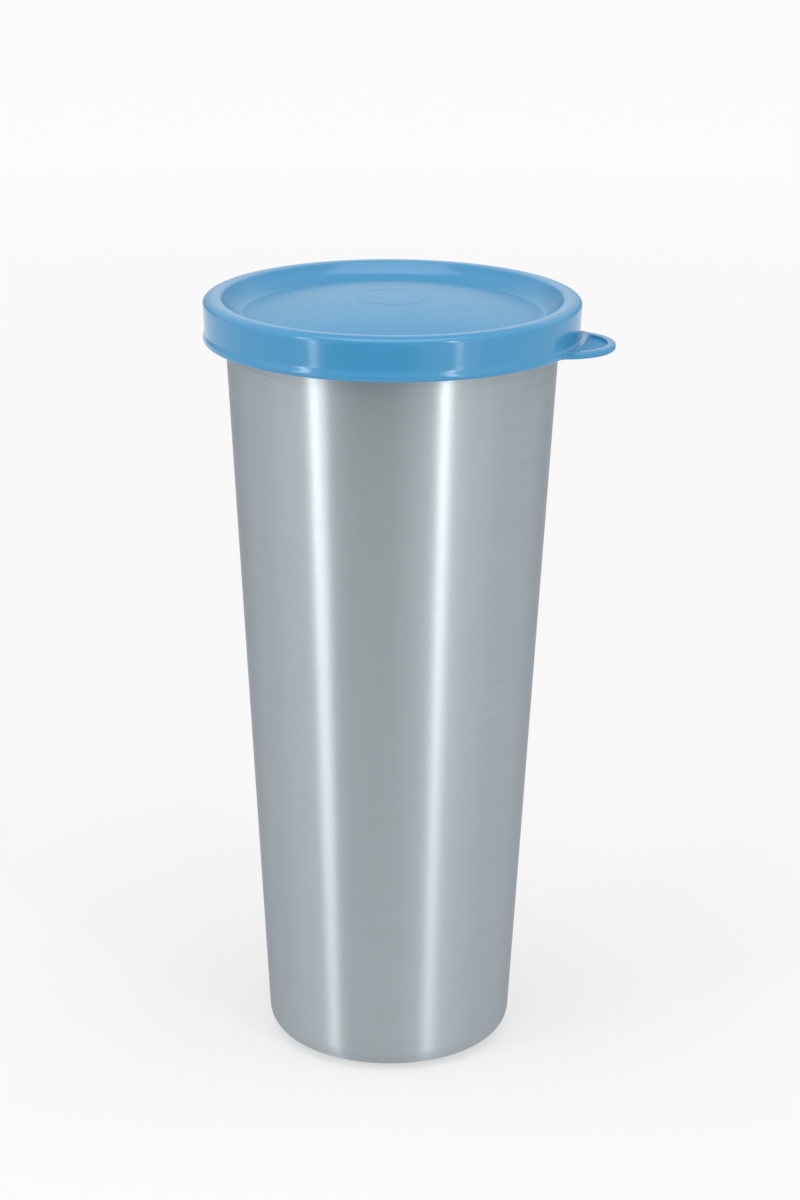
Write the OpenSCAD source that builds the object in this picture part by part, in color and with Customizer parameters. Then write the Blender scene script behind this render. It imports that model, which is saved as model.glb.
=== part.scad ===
// Tapered steel tumbler with a press-on plastic lid. Millimetres, +Z up, origin at the
// centre of the base. The lid's pull tab points along +X.

/* [Tumbler] */
// Height from the table to the top of the rolled rim
tumbler_h = 173.85; // [150:0.05:200]
// Outer radius that the tapered wall would reach at the table
base_r = 27.8; // [25:0.1:30]
// Outer radius of the tapered wall at the height of the rolled rim
mouth_r = 37.4; // [37:0.1:37.5]
// Thickness of the steel sheet
wall_t = 0.5; // [0.4:0.05:0.6]
// Outer radius of the corner between the base and the wall
corner_r = 5.5; // [4:0.5:7]
// Diameter of the outward roll around the mouth
curl_d = 3.2; // [2.8:0.1:3.2]
// How far round the roll turns before its free edge, in degrees
curl_turn = 300; // [270:5:305]

/* [Base] */
// Radius of the flat disc in the middle of the base
base_disc_r = 14; // [10:0.5:16]
// Width of the stiffening ring pressed up into the base around the disc
press_w = 4; // [3:0.5:5]
// Height of that ring
press_h = 0.6; // [0.3:0.1:1]

/* [Lid] */
// Height of the top of the lid above the top of the rolled rim
lid_rise = 1.45; // [1.45:0.05:1.8]
// Outer radius of the skirt where it meets the top
lid_r = 42; // [41.8:0.1:42.4]
// Height of the lid from its lower lip to its top
lid_h = 9.6; // [8:0.1:11]
// How much narrower the skirt is at its lower lip than at its top
skirt_taper = 0.45; // [0.2:0.05:0.5]
// Thickness of the plastic
lid_t = 0.9; // [0.8:0.05:0.95]
// Outer radius of the rounded shoulder between the skirt and the top
shoulder_r = 1.2; // [1:0.1:1.5]
// Height of the rounded lower lip
lip_h = 1.9; // [1.4:0.1:2.2]
// Radius of the inner edge of the flat land around the top
land_r = 37.9; // [37.8:0.1:38.2]
// Radius of the bottom of the groove between the land and the domed panel
groove_r = 33.6; // [31:0.1:33.7]
// Depth of that groove below the land, and rise of the panel's dome
groove_depth = 3.75; // [3:0.05:3.8]
// Clearance between the rolled rim and the snap ridge inside the skirt
snap_gap = 0.15; // [0.1:0.05:0.3]

/* [Pull tab] */
// Reach of the tab from the lid's axis
tab_reach = 50; // [49:0.5:54]
// Radius of the tab's rounded outline
tab_r = 11; // [10:0.5:12]
// Thickness of the tab's raised border
tab_t = 1.5; // [1.2:0.1:1.8]
// Thickness of the tab's sunk floor
tab_floor_t = 0.8; // [0.6:0.1:1]
// Width of the tab's raised border
tab_border = 1.7; // [1.2:0.1:2.2]

/* [Hidden] */
$fn = 96;
slop = 1;                      // how far a cutting shape runs past what it cuts
hinge_gap = 0.15;              // clearance in front of the tab's rounded root
rib_reach = 1.8;               // from the lip to the tab's sunk floor
fillet_r = 3;                  // radius between the lip and the sides of the tab
snap_h = 1.2;                  // height of the snap ridge

curl_r = curl_d / 2;
curl_z = tumbler_h - curl_r;
taper = atan((mouth_r - base_r) / curl_z);
wall_run = wall_t / cos(taper);                     // sheet thickness measured level
curl_x = mouth_r - wall_run + curl_r / cos(taper);
corner_x = base_r - corner_r * (1 - sin(taper)) / cos(taper);

lid_top_z = tumbler_h + lid_rise;
lip_z = lid_top_z - lid_h;
lip_r = lip_h / 2;
skirt_x = lid_r - lid_t / 2;                        // middle of the skirt's thickness, at its top
skirt_low_x = skirt_x - skirt_taper;                // the same at its lower end
lip_reach = skirt_low_x + lip_r;
dome_r = (pow(groove_r, 2) + pow(groove_depth, 2)) / (2 * groove_depth);
snap_x = curl_x + curl_r + snap_gap + snap_h / 2;
snap_z = curl_z - curl_r - snap_h / 2;

tab_x = tab_reach - tab_r;                          // centre of the tab's outline
root_r = tab_t / 2;
hinge_x = lip_reach + hinge_gap + root_r;
hinge_z = lip_z + root_r;
root_w = 2 * sqrt(pow(tab_r, 2) - pow(hinge_x + root_r - tab_x, 2));

// Centre of the fillet circle that touches both the lip and the tab's outline
fillet_x = (pow(lip_reach + fillet_r, 2) - pow(tab_r + fillet_r, 2) + pow(tab_x, 2)) / (2 * tab_x);
fillet_y = sqrt(pow(lip_reach + fillet_r, 2) - pow(fillet_x, 2));

// Filled half section of the cup, inset from its outer surface
module cup_section(inset) {
    edge = inset / cos(taper);
    arc_r = corner_r - inset;
    polygon([
        [0, inset],
        [corner_x, inset],
        [corner_x, corner_r],
        [corner_x + arc_r * cos(taper), corner_r - arc_r * sin(taper)],
        [mouth_r - edge, curl_z],
        [0, curl_z]
    ]);
    translate([corner_x, corner_r]) circle(r = arc_r);
}

// Section of the ring pressed up into the base, grown by the sheet on its inner side
module press_section(grow) {
    widen = grow / 2;
    polygon([
        [base_disc_r - widen, grow - slop],
        [base_disc_r - widen, grow],
        [base_disc_r + press_h - widen, press_h + grow],
        [base_disc_r + press_w - press_h + widen, press_h + grow],
        [base_disc_r + press_w + widen, grow],
        [base_disc_r + press_w + widen, grow - slop]
    ]);
}

// Rolled rim: a ring of sheet with a gap before its free edge
module curl_section() {
    free_edge = 180 - curl_turn;
    translate([curl_x, curl_z]) difference() {
        circle(r = curl_r);
        circle(r = curl_r - wall_t);
        polygon([
            [0, 0],
            [-curl_d, 0],
            [-curl_d, -2 * curl_d],
            [2 * curl_d * cos(free_edge), 2 * curl_d * sin(free_edge)]
        ]);
    }
}

module tumbler() {
    color("silver") rotate_extrude() {
        difference() {
            cup_section(0);
            press_section(0);
            difference() {
                cup_section(wall_t);
                press_section(wall_t);
            }
        }
        curl_section();
    }
}

// Sheet of even thickness between two points of a section, with round ends
module strip(a, b) {
    side = [a.y - b.y, b.x - a.x] / norm(b - a) * lid_t / 2;
    polygon([a + side, b + side, b - side, a - side]);
    translate(a) circle(d = lid_t);
    translate(b) circle(d = lid_t);
}

// Quarter ring that turns the flat land into the skirt
module shoulder() {
    translate([lid_r - shoulder_r, lid_top_z - shoulder_r]) intersection() {
        difference() {
            circle(r = shoulder_r);
            circle(r = shoulder_r - lid_t);
        }
        square(shoulder_r);
    }
}

// Outer half of the round lip along the skirt's lower edge
module lip() {
    translate([skirt_low_x, lip_z + lip_r]) intersection() {
        circle(r = lip_r);
        translate([0, -lip_r]) square(lip_h);
    }
}

// Domed panel inside the groove
module dome_section() {
    translate([0, lid_top_z - dome_r]) intersection() {
        difference() {
            circle(r = dome_r, $fn = 720);
            circle(r = dome_r - lid_t, $fn = 720);
        }
        square([groove_r, dome_r + slop]);
    }
}

module lid_section() {
    land_z = lid_top_z - lid_t / 2;
    land_edge = land_r + lid_t / 2 * tan(atan(groove_depth / (land_r - groove_r)) / 2);
    dome_section();
    strip([groove_r, land_z - groove_depth], [land_edge, land_z]);
    strip([land_edge, land_z], [lid_r - shoulder_r, land_z]);
    shoulder();
    strip([skirt_x, lid_top_z - shoulder_r], [skirt_low_x, lip_z + lid_t / 2]);
    translate([snap_x, snap_z]) circle(d = snap_h);
    lip();
}

// Plan of the tab with the fillets that lead from the lip into its sides
module tab_plan() {
    translate([tab_x, 0]) circle(r = tab_r);
    for (side = [-1, 1]) difference() {
        polygon([[tab_x, 0], [skirt_low_x, 0], [fillet_x, side * fillet_y], [tab_x, side * tab_x / 2]]);
        translate([fillet_x, side * fillet_y]) circle(r = fillet_r);
    }
}

module lid() {
    color("steelblue") {
        rotate_extrude() lid_section();
        translate([0, 0, lip_z]) linear_extrude(tab_t) intersection() {
            difference() {
                tab_plan();
                circle(r = skirt_low_x);
            }
            translate([0, -lip_reach]) square([lip_reach, 2 * lip_reach]);
        }
    }
}

module pull_tab() {
    color("steelblue") difference() {
        union() {
            translate([hinge_x, root_w / 2, hinge_z]) rotate([90, 0, 0]) cylinder(r = root_r, h = root_w);
            translate([0, 0, lip_z]) linear_extrude(tab_t) intersection() {
                translate([tab_x, 0]) circle(r = tab_r);
                translate([hinge_x, -tab_r]) square([2 * tab_r, 2 * tab_r]);
            }
        }
        translate([0, 0, lip_z + tab_floor_t]) linear_extrude(tab_t) difference() {
            translate([tab_x, 0]) circle(r = tab_r - tab_border);
            circle(r = lip_reach + rib_reach);
        }
    }
}

tumbler();
lid();
pull_tab();
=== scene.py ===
"""Brushed steel tumbler with a blue press-on lid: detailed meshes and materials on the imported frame.

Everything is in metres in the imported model's frame: +Z up, the lid's pull tab along +X.
"""

from math import atan, atan2, cos, hypot, pi, radians, sin, sqrt

import bmesh
import bpy
import numpy as np
from mathutils import Euler, Matrix, Vector


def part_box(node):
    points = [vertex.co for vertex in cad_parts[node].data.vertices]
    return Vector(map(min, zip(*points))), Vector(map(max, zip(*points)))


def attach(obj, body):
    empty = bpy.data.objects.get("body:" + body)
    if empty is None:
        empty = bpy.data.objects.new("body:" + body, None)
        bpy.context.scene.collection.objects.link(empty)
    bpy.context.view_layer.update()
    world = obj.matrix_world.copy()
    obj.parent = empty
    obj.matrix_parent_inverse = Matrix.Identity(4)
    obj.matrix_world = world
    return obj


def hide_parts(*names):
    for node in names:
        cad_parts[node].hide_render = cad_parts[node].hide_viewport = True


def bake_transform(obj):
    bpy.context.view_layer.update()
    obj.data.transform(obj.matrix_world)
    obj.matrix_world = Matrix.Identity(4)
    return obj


MM = 0.001

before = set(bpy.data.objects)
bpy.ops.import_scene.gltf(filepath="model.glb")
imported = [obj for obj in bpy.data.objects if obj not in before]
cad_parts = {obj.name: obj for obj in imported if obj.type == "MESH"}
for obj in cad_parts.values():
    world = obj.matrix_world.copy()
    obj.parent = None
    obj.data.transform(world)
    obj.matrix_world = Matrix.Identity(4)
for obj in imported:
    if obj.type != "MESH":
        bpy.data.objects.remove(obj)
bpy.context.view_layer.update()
_, cup_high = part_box("tumbler")
lid_low, lid_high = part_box("lid")
tab_low, tab_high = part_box("pull_tab")


# ---------------------------------------------------------------- camera

TAB_TURN = radians(13.4)  # the tab points this far in front of the camera's right-hand side
CAMERA_DISTANCE = 679.8 * MM
CAMERA_HEIGHT = 322.0 * MM
CAMERA_PITCH = 0.30945  # downwards, in radians
CAMERA_YAW = 0.003
CAMERA_ROLL = 0.006
CAMERA_LENS = 93.96  # in millimetres, like the sensor
CAMERA_SENSOR = 36


def make_camera():
    data = bpy.data.cameras.new("camera")
    data.lens = CAMERA_LENS
    data.sensor_width = CAMERA_SENSOR
    data.sensor_fit = "AUTO"
    data.clip_start = 0.01
    data.clip_end = 20
    data.dof.use_dof = False
    camera = bpy.data.objects.new("camera", data)
    bpy.context.scene.collection.objects.link(camera)
    place = Matrix.Rotation(TAB_TURN, 4, "Z") @ Vector((0, -CAMERA_DISTANCE, CAMERA_HEIGHT))
    aim = Matrix.Rotation(TAB_TURN - CAMERA_YAW, 4, "Z") @ Matrix.Rotation(pi / 2 - CAMERA_PITCH, 4, "X")
    camera.matrix_world = Matrix.Translation(place) @ aim @ Matrix.Rotation(CAMERA_ROLL, 4, "Z")
    bpy.context.scene.camera = camera


# ---------------------------------------------------------------- outlines

ARC_STEP = radians(6)
SAME_PLACE = 1e-7  # points closer than this are one point


def arc(centre, radius, start, end, height=None):
    """Points along an arc in a section, angles in radians; height makes it an ellipse."""
    # Rounded up, unless it is only a hair over a whole number
    count = max(2, int(abs(end - start) / ARC_STEP + 0.999))
    tall = radius if height is None else height
    steps = np.linspace(start, end, count + 1)
    return [(centre[0] + radius * cos(a), centre[1] + tall * sin(a)) for a in steps]


def line(a, b, count):
    """Points from a to b, both included."""
    return [(a[0] + (b[0] - a[0]) * t, a[1] + (b[1] - a[1]) * t) for t in np.linspace(0, 1, count + 1)]


def join(*runs):
    """One outline from several runs, without repeated points."""
    points = []
    for run in runs:
        for p in run:
            if not points or hypot(p[0] - points[-1][0], p[1] - points[-1][1]) > SAME_PLACE:
                points.append(p)
    return points


def smooth(t):
    """S curve from 0 to 1."""
    t = min(max(t, 0.0), 1.0)
    return t * t * (3 - 2 * t)


def mix(a, b, t):
    return a + (b - a) * t


def spin(name, columns, angles):
    """Closed mesh from one outline for each angle. Outlines start and end on the axis."""
    rows = len(columns[0])
    verts = []
    for column, angle in zip(columns, angles):
        verts += [(r * cos(angle), r * sin(angle), z) for r, z in column[1:-1]]
    inner = rows - 2
    count = len(columns)
    first, last = len(verts), len(verts) + 1
    verts += [(0, 0, columns[0][0][1]), (0, 0, columns[0][-1][1])]
    faces = []
    for i in range(count):
        a, b = i * inner, (i + 1) % count * inner
        faces.append((first, b, a))
        faces += [(a + k, b + k, b + k + 1, a + k + 1) for k in range(inner - 1)]
        faces.append((a + inner - 1, b + inner - 1, last))
    mesh = bpy.data.meshes.new(name)
    mesh.from_pydata(verts, [], faces)
    piece = bpy.data.objects.new(name, mesh)
    bpy.context.scene.collection.objects.link(piece)
    return piece


def tidy_mesh(piece, merge):
    """Joins points closer than merge, faces outwards and shades smooth."""
    work = bmesh.new()
    work.from_mesh(piece.data)
    bmesh.ops.remove_doubles(work, verts=work.verts, dist=merge)
    bmesh.ops.dissolve_degenerate(work, edges=work.edges, dist=merge / 4)
    bmesh.ops.recalc_face_normals(work, faces=work.faces)
    for face in work.faces:
        face.smooth = True
    work.to_mesh(piece.data)
    work.free()


# ---------------------------------------------------------------- tumbler

WALL = 0.5 * MM
CORNER = 5.5 * MM
BASE_REACH = 27.8 * MM  # where the wall's outer line would meet the table
CURL = 1.6 * MM  # outer radius of the rolled rim
CURL_FREE = radians(-120)  # direction of the roll's free edge from the roll's centre
BASE_DISC = 14 * MM
PRESS_WIDTH = 4 * MM
PRESS_HEIGHT = 0.6 * MM
PRESS_SLOPE = 0.3  # share of the ring's width that each of its slopes takes
CUP_SIDES = 256
CUP_MERGE = 0.002 * MM


def press_ring(grow, z, reverse=False):
    """The ring pressed up into the base, as an S curve up and down."""
    low = BASE_DISC - grow
    high = BASE_DISC + PRESS_WIDTH + grow
    points = []
    for t in np.linspace(0, 1, 25):
        rise = smooth(min(t, 1 - t) / PRESS_SLOPE)
        points.append((mix(low, high, t), z + PRESS_HEIGHT * rise))
    return points[::-1] if reverse else points


def make_tumbler():
    curl_x = cup_high.x - CURL
    curl_z = cup_high.z - CURL
    inner_curl = CURL - WALL
    # The wall's outer face runs into the inside of the roll, which gives its slope
    taper = atan((curl_x - inner_curl - BASE_REACH) / curl_z)
    corner_x = BASE_REACH - CORNER * (1 - sin(taper)) / cos(taper)
    corner = (corner_x, CORNER)
    tangent = pi - taper
    edge_mid = (curl_x + (CURL - WALL / 2) * cos(CURL_FREE), curl_z + (CURL - WALL / 2) * sin(CURL_FREE))

    def on_curl(radius, angle):
        return (curl_x + radius * cos(angle), curl_z + radius * sin(angle))

    def on_corner(radius, angle):
        return (corner_x + radius * cos(angle), CORNER + radius * sin(angle))

    outside = join(
        line((0, 0), (BASE_DISC, 0), 6),
        press_ring(0, 0),
        line((BASE_DISC + PRESS_WIDTH, 0), (corner_x, 0), 3),
        arc(corner, CORNER, -pi / 2, -taper),
        line(on_corner(CORNER, -taper), on_curl(inner_curl, tangent), 40),
        arc((curl_x, curl_z), inner_curl, tangent, CURL_FREE),
        arc(edge_mid, WALL / 2, CURL_FREE + pi, CURL_FREE),
    )
    inside = join(
        arc((curl_x, curl_z), CURL, CURL_FREE, tangent),
        line(on_curl(CURL, tangent), on_corner(CORNER - WALL, -taper), 40),
        arc(corner, CORNER - WALL, -taper, -pi / 2),
        line((corner_x, WALL), (BASE_DISC + PRESS_WIDTH, WALL), 3),
        press_ring(WALL / 4, WALL, reverse=True),
        line((BASE_DISC, WALL), (0, WALL), 6),
    )
    outline = join(outside, inside)
    angles = [2 * pi * i / CUP_SIDES for i in range(CUP_SIDES)]
    piece = spin("tumbler_body", [outline] * CUP_SIDES, angles)
    tidy_mesh(piece, CUP_MERGE)
    return piece


# ---------------------------------------------------------------- lid

SHEET = 0.9 * MM  # thickness of the moulding
LAND_EDGE = 37.9 * MM
GROOVE = 33.7 * MM  # radius of the groove between the panel and its sloped outer wall
GROOVE_DEPTH = 3.75 * MM
GROOVE_BEND = 0.25 * MM
DOME_BALL = (GROOVE**2 + GROOVE_DEPTH**2) / (2 * GROOVE_DEPTH)  # the panel is the top of this ball
WALL_BELLY = 0.6  # how far along the groove's outer wall its hollow is pulled
WALL_SAG = 0.3  # how far the hollow is pulled down, as a share of the groove's depth
LAND_CREST = 39.7 * MM  # the land is a little crowned
LAND_FALL = 0.3 * MM
SHOULDER = 1.3 * MM
SKIRT_TOP = 42.0 * MM
SKIRT_TAPER = 0.45 * MM
SNAP_REACH = 40.3 * MM  # radius at the crest of the snap ridge inside the skirt
SNAP_HEIGHT = 4.55 * MM
SNAP_HALF = 0.6 * MM  # half of the ridge's own height
INNER_ROUND = 0.4 * MM  # rounding under the land, and chamfer inside the lip
UNDER_GAP = 0.1 * MM  # the underside of the groove's wall is moved out this far
UNDER_BEND = (0.3 * MM, 0.15 * MM)  # and ends this far out from the groove and above it
UNDER_STEP = 0.6 * MM  # the dome under the panel starts this far in from the groove
LIP_TALL = 1.9 * MM
LIP_EDGE = 0.45 * MM
LIP_FILLET = 0.2 * MM
LIP_RISE = 2.3 * MM  # the S curve from skirt to lip starts this far above the lip's lower side
FILLET_RISE = 1.6  # the fillet above the lip or tab is this many times as tall as wide
TAB_EDGE = 0.5 * MM
TAB_EDGE_TALL = 0.55 * MM
TAB_FILLET = 0.55 * MM
TAB_RADIUS = 11 * MM
TAB_BORDER = 1.7 * MM
TAB_SIDE_FILLET = 3 * MM
TAB_RIB_REACH = 43.2 * MM
TAB_SINK = 0.7 * MM  # depth of the tab's sunk floor
TAB_SINK_SLOPE = 0.45 * MM
TAB_SINK_CORNER = 0.8 * MM
TAB_GROWTH = 2.2 * MM  # the lip has turned into the tab once its edge is this far out
TAB_ROWS = 44
TAB_STEPS = 180
TAB_MARGIN = radians(0.5)
REST_STEPS = 260
RING_RADIUS = 7.8 * MM
RING_WIDTH = 0.6 * MM
RING_HEIGHT = 0.08 * MM
GATE_RADIUS = 0.9 * MM
GATE_SHARE = 0.5  # height of the gate mark, as a share of the ring's
LID_MERGE = 0.012 * MM

lip_reach = -lid_low.x
lip_z = lid_low.z
lid_top = lid_high.z
tab_centre = tab_high.x - TAB_RADIUS
tab_thick = tab_high.z - tab_low.z

# The fillet beside the tab touches the lip's circle and the tab's. It starts at fillet_turn on the lip,
# ends at tab_turn on the tab, and its centre is fillet_far from the axis.
fillet_far = lip_reach + TAB_SIDE_FILLET
centres_apart = TAB_RADIUS + TAB_SIDE_FILLET
far_x = (fillet_far**2 - centres_apart**2 + tab_centre**2) / (2 * tab_centre)
far_y = sqrt(fillet_far**2 - far_x**2)
fillet_turn = atan2(far_y, far_x)
along = TAB_RADIUS / centres_apart
tab_turn = atan2(far_y * along, mix(tab_centre, far_x, along))


def reach(angle):
    """Distance from the axis to the edge of the lip or the tab."""
    turn = abs(angle)
    if turn >= fillet_turn:
        return lip_reach
    if turn >= tab_turn:
        off = fillet_far * sin(turn - fillet_turn)
        return fillet_far * cos(turn - fillet_turn) - sqrt(TAB_SIDE_FILLET**2 - off**2)
    return tab_centre * cos(turn) + sqrt(TAB_RADIUS**2 - (tab_centre * sin(turn)) ** 2)


def soft_min(a, b, soft):
    """The smaller of two values, rounded off where they are closer than soft."""
    h = min(max(0.5 + 0.5 * (b - a) / soft, 0), 1)
    return mix(b, a, h) - soft * h * (1 - h)


def tab_drop(r, angle):
    """Depth of the tab's sunk floor below its border."""
    to_border = TAB_RADIUS - TAB_BORDER - hypot(r * cos(angle) - tab_centre, r * sin(angle))
    to_rib = r - TAB_RIB_REACH
    return TAB_SINK * smooth(soft_min(to_border, to_rib, TAB_SINK_CORNER) / TAB_SINK_SLOPE)


def skirt_x(z, inset=0.0):
    """Radius of the skirt's face at a height, inset into the plastic."""
    t = (lid_top - SHOULDER - z) / (lid_top - SHOULDER - lip_z)
    return SKIRT_TOP - SKIRT_TAPER * t - inset


def ball_z(r):
    """Height of the plain dome that the panel follows."""
    return lid_top - DOME_BALL + sqrt(DOME_BALL**2 - r**2)


def panel_z(r):
    """Height of the panel, with the raised ring and the gate mark in its middle."""
    ring = smooth(1 - abs(r - RING_RADIUS) / (RING_WIDTH / 2))
    gate = GATE_SHARE * smooth(1.5 - r / GATE_RADIUS)
    return ball_z(r) + RING_HEIGHT * (ring + gate - 1)


def quadratic(a, b, c, count):
    """Points on the curve from a to c that b pulls on."""
    return [
        (
            (1 - t) ** 2 * a[0] + 2 * t * (1 - t) * b[0] + t * t * c[0],
            (1 - t) ** 2 * a[1] + 2 * t * (1 - t) * b[1] + t * t * c[1],
        )
        for t in np.linspace(0, 1, count + 1)
    ]


def lid_top_run():
    """From the middle of the panel out to the top of the skirt."""
    groove = (GROOVE, lid_top - GROOVE_DEPTH)
    ring_in = RING_RADIUS - RING_WIDTH
    ring_out = RING_RADIUS + RING_WIDTH
    runs = ((0, ring_in, 16), (ring_in, ring_out, 17), (ring_out, GROOVE - GROOVE_BEND, 30))
    panel = join([(r, panel_z(r)) for run in runs for r in np.linspace(*run)])
    edge = (LAND_EDGE, lid_top - LAND_FALL)
    low = (mix(GROOVE, LAND_EDGE, WALL_BELLY), mix(groove[1], lid_top, WALL_BELLY - WALL_SAG))
    wall = quadratic(groove, low, edge, 14)
    bend = quadratic(panel[-1], groove, wall[1], 6)
    land = quadratic(edge, (mix(LAND_EDGE, LAND_CREST, 0.5), lid_top), (LAND_CREST, lid_top), 10)
    rounding = quadratic(wall[-2], edge, land[1], 5)
    return join(
        panel,
        bend,
        wall[1:-1],
        rounding,
        land[1:],
        arc((LAND_CREST, lid_top - SHOULDER), SKIRT_TOP - LAND_CREST, pi / 2, 0, SHOULDER),
    )


def lid_under_run():
    """From the skirt's lower inner edge, up under the land and back to the middle."""
    under = lid_top - SHEET
    snap_z = lip_z + SNAP_HEIGHT

    def inside(low, high, count):
        return [(skirt_x(z, SHEET), z) for z in np.linspace(low, high, count)]

    def ridge(x, z):
        share = sqrt(max(0, 1 - ((z - snap_z) / SNAP_HALF) ** 2))
        return (mix(x, SNAP_REACH, share), z)

    groove = (GROOVE, under - GROOVE_DEPTH)
    top_in = (LAND_EDGE + UNDER_GAP, under)
    low_x = mix(GROOVE, top_in[0], WALL_BELLY) + UNDER_GAP
    low = (low_x, mix(groove[1], under, WALL_BELLY - WALL_SAG))
    wall_end = (GROOVE + UNDER_BEND[0], groove[1] + UNDER_BEND[1])
    corner = arc((skirt_x(under, SHEET) - INNER_ROUND, under - INNER_ROUND), INNER_ROUND, 0, pi / 2)
    return join(
        inside(lip_z + INNER_ROUND, snap_z - SNAP_HALF, 6),
        [ridge(x, z) for x, z in inside(snap_z - SNAP_HALF, snap_z + SNAP_HALF, 13)],
        inside(snap_z + SNAP_HALF, under - INNER_ROUND, 6),
        corner,
        line(corner[-1], top_in, 4),
        quadratic(top_in, low, wall_end, 10),
        [groove],
        [(r, ball_z(r) - SHEET) for r in np.linspace(GROOVE - UNDER_STEP, 0, 20)],
    )


def bulge(fillet_run, rows, upper, grown):
    """Turns the step above the lip into a soft S where the tab hasn't grown out of it."""
    shares = list(np.linspace(0, 0.5, len(fillet_run)))
    shares += [0.5] * (len(rows) - 1)
    shares += list(np.linspace(0.5, 1, len(upper)))[1:]
    points = fillet_run + rows[1:] + upper[1:]
    high = lip_z + LIP_RISE
    low = lip_z + LIP_TALL / 2
    soft = [(mix(skirt_x(high), lip_reach, smooth(t)), mix(high, low, t)) for t in shares]
    return [(mix(a[0], b[0], grown), mix(a[1], b[1], grown)) for a, b in zip(soft, points)]


def edge_run(angle):
    """Round the lip, or over and under the tab, from the skirt's outside to its inside."""
    out = reach(angle)
    grown = smooth((out - lip_reach) / TAB_GROWTH)
    tall = mix(LIP_TALL, tab_thick, grown)
    edge = mix(LIP_EDGE, TAB_EDGE, grown)
    fillet = mix(LIP_FILLET, TAB_FILLET, grown)
    top = lip_z + tall
    flat_in = skirt_x(top) + fillet
    flat_out = max(out - edge, flat_in)
    tall_edge = mix(tall / 2, TAB_EDGE_TALL, grown)
    rise = fillet * FILLET_RISE
    turn = np.linspace(pi, 1.5 * pi, 7)
    fillet_run = [
        (mix(skirt_x(top + rise), flat_in, 1 + cos(a)), top + rise + rise * sin(a)) for a in turn
    ]
    rows = [(r, top - tab_drop(r, angle)) for r in np.linspace(flat_in, flat_out, TAB_ROWS + 1)]
    upper = arc((out - edge, top - tall_edge), edge, pi / 2, 0, tall_edge)
    lower = arc((out - edge, lip_z + tall_edge), edge, 0, -pi / 2, tall_edge)
    inner = skirt_x(lip_z, SHEET)
    under = line((out - edge, lip_z), (inner + INNER_ROUND, lip_z), 12)
    return bulge(fillet_run, rows, upper, grown) + lower + under[1:]


def lid_angles():
    """Angles round the lid, close together across the tab."""
    tab_half = fillet_turn + TAB_MARGIN
    near = np.linspace(-tab_half, tab_half, TAB_STEPS + 1)
    rest = np.linspace(tab_half, 2 * pi - tab_half, REST_STEPS + 1)[1:-1]
    return [float(a) for a in near] + [float(a) for a in rest]


def make_lid():
    top_run = lid_top_run()
    under_run = lid_under_run()
    columns = []
    angles = lid_angles()
    for angle in angles:
        turn = angle if angle <= pi else angle - 2 * pi
        edge = edge_run(turn)
        skirt = [(skirt_x(z), z) for z in np.linspace(lid_top - SHOULDER, edge[0][1], 9)[1:-1]]
        columns.append(top_run + skirt + edge + under_run)
    piece = spin("lid_moulding", columns, angles)
    tidy_mesh(piece, LID_MERGE)
    return piece


# ---------------------------------------------------------------- materials


def material(name):
    """New material, with its nodes, links and shader."""
    made = bpy.data.materials.new(name)
    made.use_nodes = True
    nodes = made.node_tree.nodes
    shader = nodes["Principled BSDF"]
    return made, nodes, made.node_tree.links, shader


def calculate(nodes, links, operation, *values):
    """Result of a math node whose inputs are sockets or plain numbers."""
    made = nodes.new("ShaderNodeMath")
    made.operation = operation
    feed(links, made, values)
    return made.outputs["Value"]


def calculate_vector(nodes, links, operation, *values):
    """Result of a vector math node whose inputs are sockets or plain vectors."""
    made = nodes.new("ShaderNodeVectorMath")
    made.operation = operation
    feed(links, made, values)
    return made.outputs["Value" if operation in ("LENGTH", "DOT_PRODUCT") else "Vector"]


def feed(links, node, values):
    """Links or sets a node's first inputs."""
    for value, socket in zip(values, node.inputs):
        if isinstance(value, bpy.types.NodeSocket):
            links.new(value, socket)
        else:
            socket.default_value = value


def from_axis(nodes, links, place):
    """A place's part across the axis, that part's length, and the place's height."""
    split = nodes.new("ShaderNodeSeparateXYZ")
    links.new(place, split.inputs[0])
    across = nodes.new("ShaderNodeCombineXYZ")
    links.new(split.outputs["X"], across.inputs["X"])
    links.new(split.outputs["Y"], across.inputs["Y"])
    distance = calculate_vector(nodes, links, "LENGTH", across.outputs[0])
    return across.outputs[0], distance, split.outputs["Z"]


def around_axis(nodes, links, place, small, large):
    """Coordinates that vary slowly round the axis and fast up the wall and out across the base."""
    across, distance, height = from_axis(nodes, links, place)
    turn = calculate_vector(nodes, links, "NORMALIZE", across)
    slow = calculate_vector(nodes, links, "MULTIPLY", turn, (small, small, small))
    run = calculate(nodes, links, "ADD", height, distance)
    fast = nodes.new("ShaderNodeCombineXYZ")
    links.new(calculate(nodes, links, "MULTIPLY", run, large), fast.inputs["Z"])
    return calculate_vector(nodes, links, "ADD", slow, fast.outputs[0])


def noise(nodes, links, vector, scale, detail, roughness=0.5):
    """Noise from 0 to 1. Most of it lies between 0.3 and 0.7."""
    made = nodes.new("ShaderNodeTexNoise")
    made.inputs["Scale"].default_value = scale
    made.inputs["Detail"].default_value = detail
    made.inputs["Roughness"].default_value = roughness
    links.new(vector, made.inputs["Vector"])
    return made.outputs["Fac"]


def spread(nodes, links, value, low, high, start=0.3, end=0.7):
    """Maps value from start..end to low..high."""
    made = nodes.new("ShaderNodeMapRange")
    made.inputs["From Min"].default_value = start
    made.inputs["From Max"].default_value = end
    made.inputs["To Min"].default_value = low
    made.inputs["To Max"].default_value = high
    links.new(value, made.inputs["Value"])
    return made.outputs["Result"]


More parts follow.
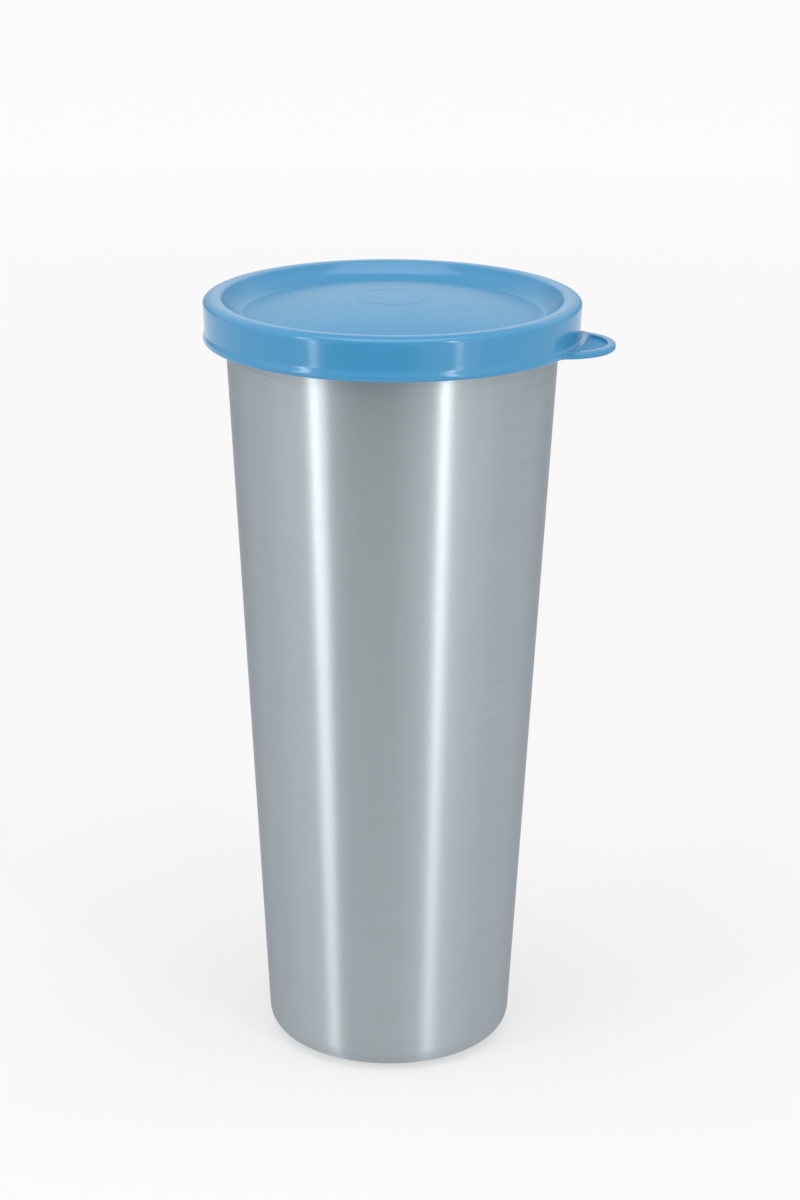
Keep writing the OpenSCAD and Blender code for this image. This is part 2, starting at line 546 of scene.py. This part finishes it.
def tint(nodes, links, dark, light, share):
    """Colour between dark and light."""
    made = nodes.new("ShaderNodeMix")
    made.data_type = "RGBA"
    made.inputs["A"].default_value = dark
    made.inputs["B"].default_value = light
    links.new(share, made.inputs["Factor"])
    return made.outputs["Result"]


BRUSH_ROUND = 1.2  # how fast the brushing changes round the cup, and up its wall
BRUSH_UP = 9000
STEEL_DARK = (0.42, 0.465, 0.495, 1)
STEEL_LIGHT = (0.47, 0.515, 0.545, 1)
STEEL_EDGE = (0.72, 0.74, 0.76, 1)  # tint at glancing angles
STEEL_CLOUD = 28  # cloudiness per metre, over and above the brushing
GRAIN_TONE = (0.0, 0.55)
CLOUD_TONE = (0.0, 0.45)
GRAIN_ROUGH = (0.28, 0.46)
CLOUD_ROUGH = (-0.01, 0.02)


def brushed_steel():
    made, nodes, links, shader = material("brushed_steel")
    place = nodes.new("ShaderNodeTexCoord").outputs["Object"]
    grain = noise(nodes, links, around_axis(nodes, links, place, BRUSH_ROUND, BRUSH_UP), 1.0, 4.0, 0.6)
    cloud = noise(nodes, links, place, STEEL_CLOUD, 2.0)
    grain_tone = spread(nodes, links, grain, *GRAIN_TONE)
    cloud_tone = spread(nodes, links, cloud, *CLOUD_TONE)
    tone = calculate(nodes, links, "ADD", grain_tone, cloud_tone)
    links.new(tint(nodes, links, STEEL_DARK, STEEL_LIGHT, tone), shader.inputs["Base Color"])
    grain_rough = spread(nodes, links, grain, *GRAIN_ROUGH)
    cloud_rough = spread(nodes, links, cloud, *CLOUD_ROUGH)
    links.new(calculate(nodes, links, "ADD", grain_rough, cloud_rough), shader.inputs["Roughness"])
    tangent = nodes.new("ShaderNodeTangent")
    tangent.direction_type = "RADIAL"
    tangent.axis = "Z"
    links.new(tangent.outputs["Tangent"], shader.inputs["Tangent"])
    shader.inputs["Metallic"].default_value = 1.0
    shader.inputs["Anisotropic"].default_value = 1.0
    shader.inputs["Anisotropic Rotation"].default_value = 0.25
    shader.inputs["Specular Tint"].default_value = STEEL_EDGE
    return made


BLUE_DARK = (0.042, 0.235, 0.435, 1)
BLUE_LIGHT = (0.044, 0.243, 0.448, 1)
BLUE_CLOUD = 60
BLUE_SPECK = 900
RIM_ROUGH = (0.13, 0.17)
PANEL_ROUGH = 0.18  # how much duller than the rim the panel is
PANEL_FADE = 0.5 * MM
TAB_ROUGH = 0.06  # and the tab's border
TAB_FLOOR_ROUGH = 0.45  # and the tab's sunk floor
PLASTIC_IOR = 1.51
BUMP_SHARE = 0.1
BUMP_HEIGHT = 0.05 * MM


def blue_plastic():
    made, nodes, links, shader = material("blue_plastic")
    place = nodes.new("ShaderNodeTexCoord").outputs["Object"]
    cloud = noise(nodes, links, place, BLUE_CLOUD, 3.0)
    speck = noise(nodes, links, place, BLUE_SPECK, 2.0)
    tone = spread(nodes, links, cloud, 0, 1)
    links.new(tint(nodes, links, BLUE_DARK, BLUE_LIGHT, tone), shader.inputs["Base Color"])
    _, distance, height = from_axis(nodes, links, place)
    panel = spread(nodes, links, distance, PANEL_ROUGH, 0, GROOVE - PANEL_FADE, GROOVE)
    on_tab = spread(nodes, links, distance, 0, 1, lip_reach, TAB_RIB_REACH)
    sunk_z = tab_high.z - TAB_SINK
    tab = spread(nodes, links, height, TAB_FLOOR_ROUGH, TAB_ROUGH, sunk_z, tab_high.z)
    dull = calculate(nodes, links, "MULTIPLY_ADD", on_tab, tab, panel)
    rim = spread(nodes, links, speck, *RIM_ROUGH)
    links.new(calculate(nodes, links, "ADD", dull, rim), shader.inputs["Roughness"])
    bump = nodes.new("ShaderNodeBump")
    bump.inputs["Strength"].default_value = BUMP_SHARE
    bump.inputs["Distance"].default_value = BUMP_HEIGHT
    links.new(cloud, bump.inputs["Height"])
    links.new(bump.outputs["Normal"], shader.inputs["Normal"])
    shader.inputs["IOR"].default_value = PLASTIC_IOR
    return made


def wear(piece, made):
    """Gives a piece its only material."""
    piece.data.materials.clear()
    piece.data.materials.append(made)


# ---------------------------------------------------------------- studio

ROOM_LIGHT = 0.79  # brightness of the white surroundings at the horizon
TOP_LIGHT = 1.15  # brightness straight above
FRONT_LIGHT = 0.4  # share of it that is left behind the camera
FRONT_AZIMUTH = -12
FRONT_FADE = (0.75, 0.95)  # cosines from the middle of it between which the share comes in
HEIGHT_FADE = (0.1, 0.9)  # sines of the elevations between which ROOM_LIGHT turns into TOP_LIGHT
# Brighter and darker patches of the room: azimuth and elevation in degrees, added brightness
ROOM_PATCHES = (
    (-70, 0, 0.6),
    (52, 0, 0.6),
    (-152, 0, -0.5),
    (152, 0, -0.5),
    (180, 58, -0.5),
    (180, 14, 0.17),
)
PATCH_FADE = (0.86, 0.99)  # cosines from a patch's middle between which its brightness comes in
BACKDROP = 0.947  # the one tone that the camera sees behind the object
FLAG_START = 0.41  # the dark sheet towards the camera, seen only in reflections
FLAG_LENGTH = 0.8
FLAG_WIDTH = 0.5
FLAG_HEIGHT = 1 * MM
FLAG_TONE = 0.1
# Upright lamps that face the object: name, azimuth in degrees, height, width, length, brightness
STRIPS = (
    ("strip_left", -53, 0.28, 0.05, 0.36, 8.0),
    ("strip_right", 35, 0.28, 0.038, 0.36, 9.6),
    ("strip_left_low", -46.8, 0.045, 0.04, 0.08, 5.5),
    ("strip_right_low", 39.3, 0.045, 0.03, 0.08, 5.5),
    ("glow_right_low", 47, 0.045, 0.1, 0.08, 0.7),
)
STRIP_DISTANCE = 0.5
OVERHEAD_DISTANCE = 0.22
OVERHEAD_HEIGHT = 0.9
OVERHEAD_SIZE = (0.66, 0.6)
OVERHEAD_LIGHT = 1.7
FLOOR_RADIUS = 4.0
FLOOR_GAP = 0.1 * MM
FLOOR_TONE = 0.34
FLOOR_GLOW = (0.53, 0.632)  # near the object and far from it
FLOOR_GLOW_REACH = (0.1, 1.2)


def grey(value):
    return (value, value, value, 1)


def studio_place(azimuth, distance, height):
    """A point round the object. Azimuth is in degrees from the camera's side, to its right."""
    turn = TAB_TURN - pi / 2 + radians(azimuth)
    return Vector((distance * cos(turn), distance * sin(turn), height))


def panel_light(name, place, turn, width, tall, brightness):
    """Soft light that the camera doesn't see. A brightness of 1 looks plain white in a mirror."""
    data = bpy.data.lights.new(name, "AREA")
    data.shape = "RECTANGLE"
    data.size = width
    data.size_y = tall
    data.energy = brightness * pi * width * tall
    lamp = bpy.data.objects.new(name, data)
    bpy.context.scene.collection.objects.link(lamp)
    lamp.location = place
    lamp.rotation_euler = turn
    lamp.visible_camera = False


def strip(name, azimuth, height, width, tall, brightness):
    """Upright light that faces the object."""
    turn = Euler((pi / 2, 0, TAB_TURN + radians(azimuth)))
    panel_light(name, studio_place(azimuth, STRIP_DISTANCE, height), turn, width, tall, brightness)


def make_sheet(name, work):
    """Object from a flat working mesh, which it frees."""
    mesh = bpy.data.meshes.new(name)
    work.to_mesh(mesh)
    work.free()
    sheet = bpy.data.objects.new(name, mesh)
    bpy.context.scene.collection.objects.link(sheet)
    return sheet


def floor_material():
    """Pale and glowing a little, and clear from below."""
    made, nodes, links, shader = material("floor_white")
    shader.inputs["Base Color"].default_value = grey(FLOOR_TONE)
    shader.inputs["Roughness"].default_value = 0.9
    shader.inputs["Specular IOR Level"].default_value = 0.0
    shader.inputs["Emission Color"].default_value = grey(1)
    place = nodes.new("ShaderNodeTexCoord")
    distance = calculate_vector(nodes, links, "LENGTH", place.outputs["Object"])
    glow = spread(nodes, links, distance, *FLOOR_GLOW, *FLOOR_GLOW_REACH)
    links.new(glow, shader.inputs["Emission Strength"])
    side = nodes.new("ShaderNodeNewGeometry")
    clear = nodes.new("ShaderNodeBsdfTransparent")
    pick = nodes.new("ShaderNodeMixShader")
    links.new(side.outputs["Backfacing"], pick.inputs["Fac"])
    links.new(shader.outputs[0], pick.inputs[1])
    links.new(clear.outputs[0], pick.inputs[2])
    links.new(pick.outputs[0], nodes["Material Output"].inputs["Surface"])
    return made


def make_floor():
    work = bmesh.new()
    bmesh.ops.create_circle(work, cap_ends=True, segments=96, radius=FLOOR_RADIUS)
    floor = make_sheet("floor", work)
    floor.location.z = -FLOOR_GAP
    wear(floor, floor_material())


def make_flag():
    """Dark sheet on the floor in front that only reflections see, scaled from a unit square."""
    work = bmesh.new()
    bmesh.ops.create_grid(work, size=0.5)
    flag = make_sheet("flag", work)
    flag.location = studio_place(FRONT_AZIMUTH, FLAG_START + FLAG_LENGTH / 2, FLAG_HEIGHT)
    flag.rotation_euler = (0, 0, TAB_TURN + radians(FRONT_AZIMUTH))
    flag.scale = (FLAG_WIDTH, FLAG_LENGTH, 1)
    flag.visible_camera = False
    flag.visible_diffuse = False
    flag.visible_shadow = False
    made, _, _, shader = material("flag_dark")
    shader.inputs["Base Color"].default_value = grey(FLAG_TONE)
    shader.inputs["Specular IOR Level"].default_value = 0.0
    wear(flag, made)


def facing(nodes, links, way, azimuth, elevation=0):
    """Cosine of the angle between a direction and an azimuth and elevation in degrees."""
    rise = radians(elevation)
    towards = studio_place(azimuth, cos(rise), sin(rise))
    return calculate_vector(nodes, links, "DOT_PRODUCT", way, towards)


def make_world():
    """White surroundings, darker behind the camera. The camera itself sees one pale tone."""
    world = bpy.data.worlds.new("studio")
    bpy.context.scene.world = world
    world.use_nodes = True
    nodes = world.node_tree.nodes
    links = world.node_tree.links
    nodes.clear()
    out = nodes.new("ShaderNodeOutputWorld")
    seen = nodes.new("ShaderNodeBackground")
    seen.inputs["Color"].default_value = grey(BACKDROP)
    room = nodes.new("ShaderNodeBackground")
    way = nodes.new("ShaderNodeTexCoord").outputs["Generated"]
    front = facing(nodes, links, way, FRONT_AZIMUTH)
    links.new(spread(nodes, links, front, 1.0, FRONT_LIGHT, *FRONT_FADE), room.inputs["Strength"])
    split = nodes.new("ShaderNodeSeparateXYZ")
    links.new(way, split.inputs[0])
    tone = spread(nodes, links, split.outputs["Z"], ROOM_LIGHT, TOP_LIGHT, *HEIGHT_FADE)
    for azimuth, elevation, light in ROOM_PATCHES:
        near = facing(nodes, links, way, azimuth, elevation)
        patch = spread(nodes, links, near, 0, light, *PATCH_FADE)
        tone = calculate(nodes, links, "ADD", tone, patch)
    links.new(tone, room.inputs["Color"])
    path = nodes.new("ShaderNodeLightPath")
    pick = nodes.new("ShaderNodeMixShader")
    links.new(path.outputs["Is Camera Ray"], pick.inputs["Fac"])
    links.new(room.outputs[0], pick.inputs[1])
    links.new(seen.outputs[0], pick.inputs[2])
    links.new(pick.outputs[0], out.inputs["Surface"])


def make_overhead():
    place = studio_place(0, OVERHEAD_DISTANCE, OVERHEAD_HEIGHT)
    panel_light("overhead", place, Euler((0, 0, TAB_TURN)), *OVERHEAD_SIZE, OVERHEAD_LIGHT)


def make_studio():
    bpy.context.scene.view_settings.view_transform = "Standard"
    make_world()
    make_floor()
    make_flag()
    for lamp in STRIPS:
        strip(*lamp)
    make_overhead()


# ---------------------------------------------------------------- build

make_camera()

tumbler = make_tumbler()
wear(tumbler, brushed_steel())
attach(tumbler, "cup")
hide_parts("tumbler")

lid = make_lid()
wear(lid, blue_plastic())
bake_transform(lid)
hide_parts("lid", "pull_tab")

make_studio()
